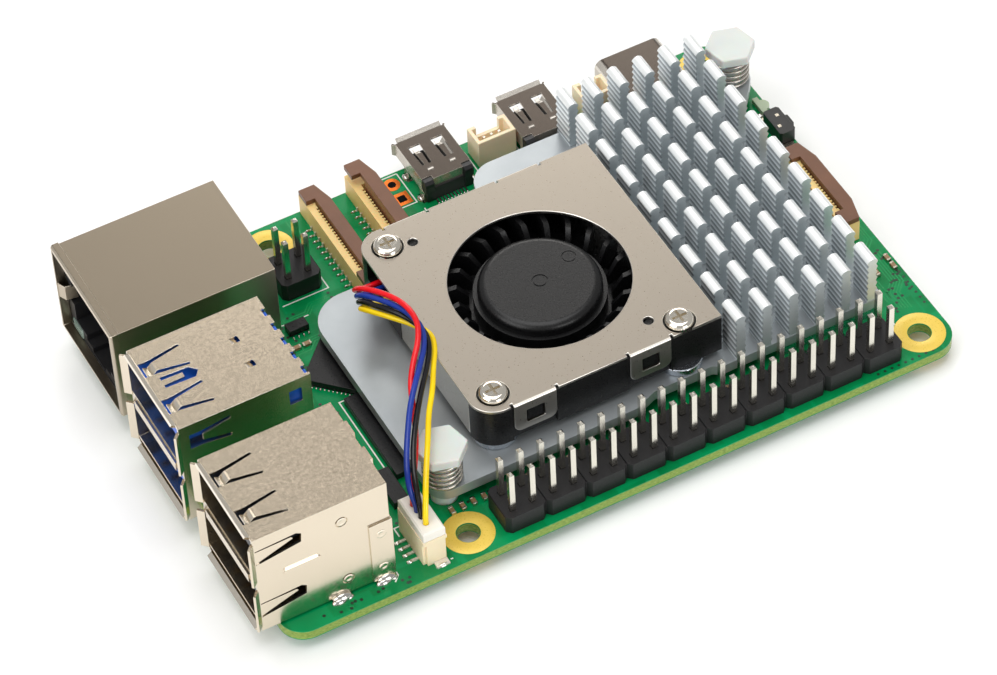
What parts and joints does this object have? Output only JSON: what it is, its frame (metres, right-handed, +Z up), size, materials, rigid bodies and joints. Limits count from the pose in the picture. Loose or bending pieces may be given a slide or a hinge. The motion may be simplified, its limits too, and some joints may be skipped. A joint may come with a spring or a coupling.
{
  "type": "single board computer",
  "caption": "Card-sized computer board with a pin header, stacked sockets, ribbon connectors with sliding latches and a clip-on heatsink with a side-blowing fan.",
  "frame": {"origin": "centre of the four mounting holes, on the board's underside", "axes": "+X towards the USB and network sockets, +Y towards the long pin header, +Z up out of the component side"},
  "size_m": [0.0885, 0.0577, 0.0187],
  "materials": {
    "board_green": "glossy green solder mask over glass fibre",
    "header_black": "matt black moulding",
    "pin_metal": "bright plated pins",
    "jack_shield": "brushed nickel sheet",
    "socket_black": "black moulding",
    "contact_gold": "gold plated springs",
    "lamp_clear": "milky clear plastic",
    "usb_shell": "satin nickel sheet",
    "usb_blue": "bright blue moulding",
    "usb_black": "black moulding",
    "socket_steel": "dark brushed nickel sheet",
    "cream_plastic": "cream moulding",
    "latch_brown": "dark brown moulding",
    "solder_tin": "tinned contacts",
    "plug_white": "white moulding",
    "wire_red": "soft red insulation",
    "wire_blue": "soft blue insulation",
    "wire_black": "soft black insulation",
    "wire_yellow": "soft yellow insulation",
    "button_black": "black moulding",
    "lamp_green": "green tinted clear dome",
    "chip_black": "matt black resin",
    "lid_metal": "satin metal lid",
    "ceramic_tan": "tan ceramic with tinned ends",
    "ferrite_grey": "dark grey ferrite",
    "module_steel": "silver can",
    "card_steel": "thin stainless sheet",
    "sink_aluminium": "satin anodised aluminium",
    "pad_grey": "soft grey thermal pad",
    "fan_black": "black moulding",
    "cover_steel": "satin stainless sheet",
    "screw_steel": "bright plated steel",
    "standoff_zinc": "blue zinc plating",
    "coil_copper": "copper windings on a steel core",
    "bearing_bronze": "sintered bronze",
    "shaft_steel": "ground steel",
    "magnet_dark": "bonded magnet",
    "pin_nylon": "milky nylon",
    "spring_steel": "spring steel wire"
  },
  "bodies": {
    "board": {"circuit_board": "board_green", "gpio_header_housing": "header_black", "header_pins": "pin_metal", "poe_header_housing": "header_black", "ethernet_shield": "jack_shield", "ethernet_housing": "socket_black", "ethernet_contacts": "contact_gold", "ethernet_lamp_lenses": "lamp_clear", "usb3_shell": "usb_shell", "usb3_insulator": "usb_blue", "usb2_shell": "usb_shell", "usb2_insulator": "usb_black", "usb_contacts": "contact_gold", "usb_c_shell": "socket_steel", "usb_c_insulator": "socket_black", "hdmi_shells": "socket_steel", "hdmi_insulators": "socket_black", "camera_connector_bodies": "cream_plastic", "pcie_connector_body": "cream_plastic", "ribbon_contacts": "solder_tin", "debug_header_body": "cream_plastic", "battery_header_body": "cream_plastic", "fan_header_body": "cream_plastic", "wire_header_contacts": "solder_tin", "fan_plug": "plug_white", "fan_wire_red": "wire_red", "fan_wire_blue": "wire_blue", "fan_wire_black": "wire_black", "fan_wire_yellow": "wire_yellow", "power_button_body": "button_black", "status_lamp": "lamp_green", "processor_package": "chip_black", "processor_lid": "lid_metal", "memory_chip": "chip_black", "peripheral_chip": "chip_black", "wireless_module": "module_steel", "small_chips": "chip_black", "chip_capacitors": "ceramic_tan", "power_inductors": "ferrite_grey", "microsd_shell": "card_steel", "microsd_base": "socket_black", "heatsink": "sink_aluminium", "thermal_pads": "pad_grey", "fan_housing": "fan_black", "fan_cover": "cover_steel", "fan_screws": "screw_steel", "fan_standoffs": "standoff_zinc", "fan_stator": "coil_copper", "fan_bearing": "bearing_bronze", "push_pin_spring_1": "spring_steel", "push_pin_spring_2": "spring_steel"},
    "camera_0_latch": {"camera_0_latch": "latch_brown"},
    "camera_1_latch": {"camera_1_latch": "latch_brown"},
    "pcie_latch": {"pcie_latch": "latch_brown"},
    "power_button_plunger": {"power_button_plunger": "button_black"},
    "push_pin_1": {"push_pin_1": "pin_nylon"},
    "push_pin_2": {"push_pin_2": "pin_nylon"},
    "fan_rotor": {"fan_rotor": "fan_black", "fan_shaft": "shaft_steel", "fan_magnet": "magnet_dark"}
  },
  "joints": [
    {"name": "fan_spin", "type": "hinge", "parent": "board", "child": "fan_rotor", "pos_m": [0.0081, 0.0033, 0.0074], "axis": [0, 0, 1], "continuous": true},
    {"name": "camera_0_latch_slide", "type": "slide", "parent": "board", "child": "camera_0_latch", "axis": [0, 0, 1], "range_m": [0, 0.0011]},
    {"name": "camera_1_latch_slide", "type": "slide", "parent": "board", "child": "camera_1_latch", "axis": [0, 0, 1], "range_m": [-0.0011, 0]},
    {"name": "pcie_latch_slide", "type": "slide", "parent": "board", "child": "pcie_latch", "axis": [0, 0, 1], "range_m": [0, 0.0011]},
    {"name": "power_button_press", "type": "slide", "parent": "board", "child": "power_button_plunger", "axis": [1, 0, 0], "range_m": [0, 0.00025], "stiffness_N_per_m": 2000},
    {"name": "push_pin_1_press", "type": "slide", "parent": "board", "child": "push_pin_1", "axis": [0, 0, -1], "range_m": [0, 0.001], "stiffness_N_per_m": 2000, "deforming": ["push_pin_spring_1"]},
    {"name": "push_pin_2_press", "type": "slide", "parent": "board", "child": "push_pin_2", "axis": [0, 0, -1], "range_m": [0, 0.001], "stiffness_N_per_m": 2000, "deforming": ["push_pin_spring_2"]}
  ]
}
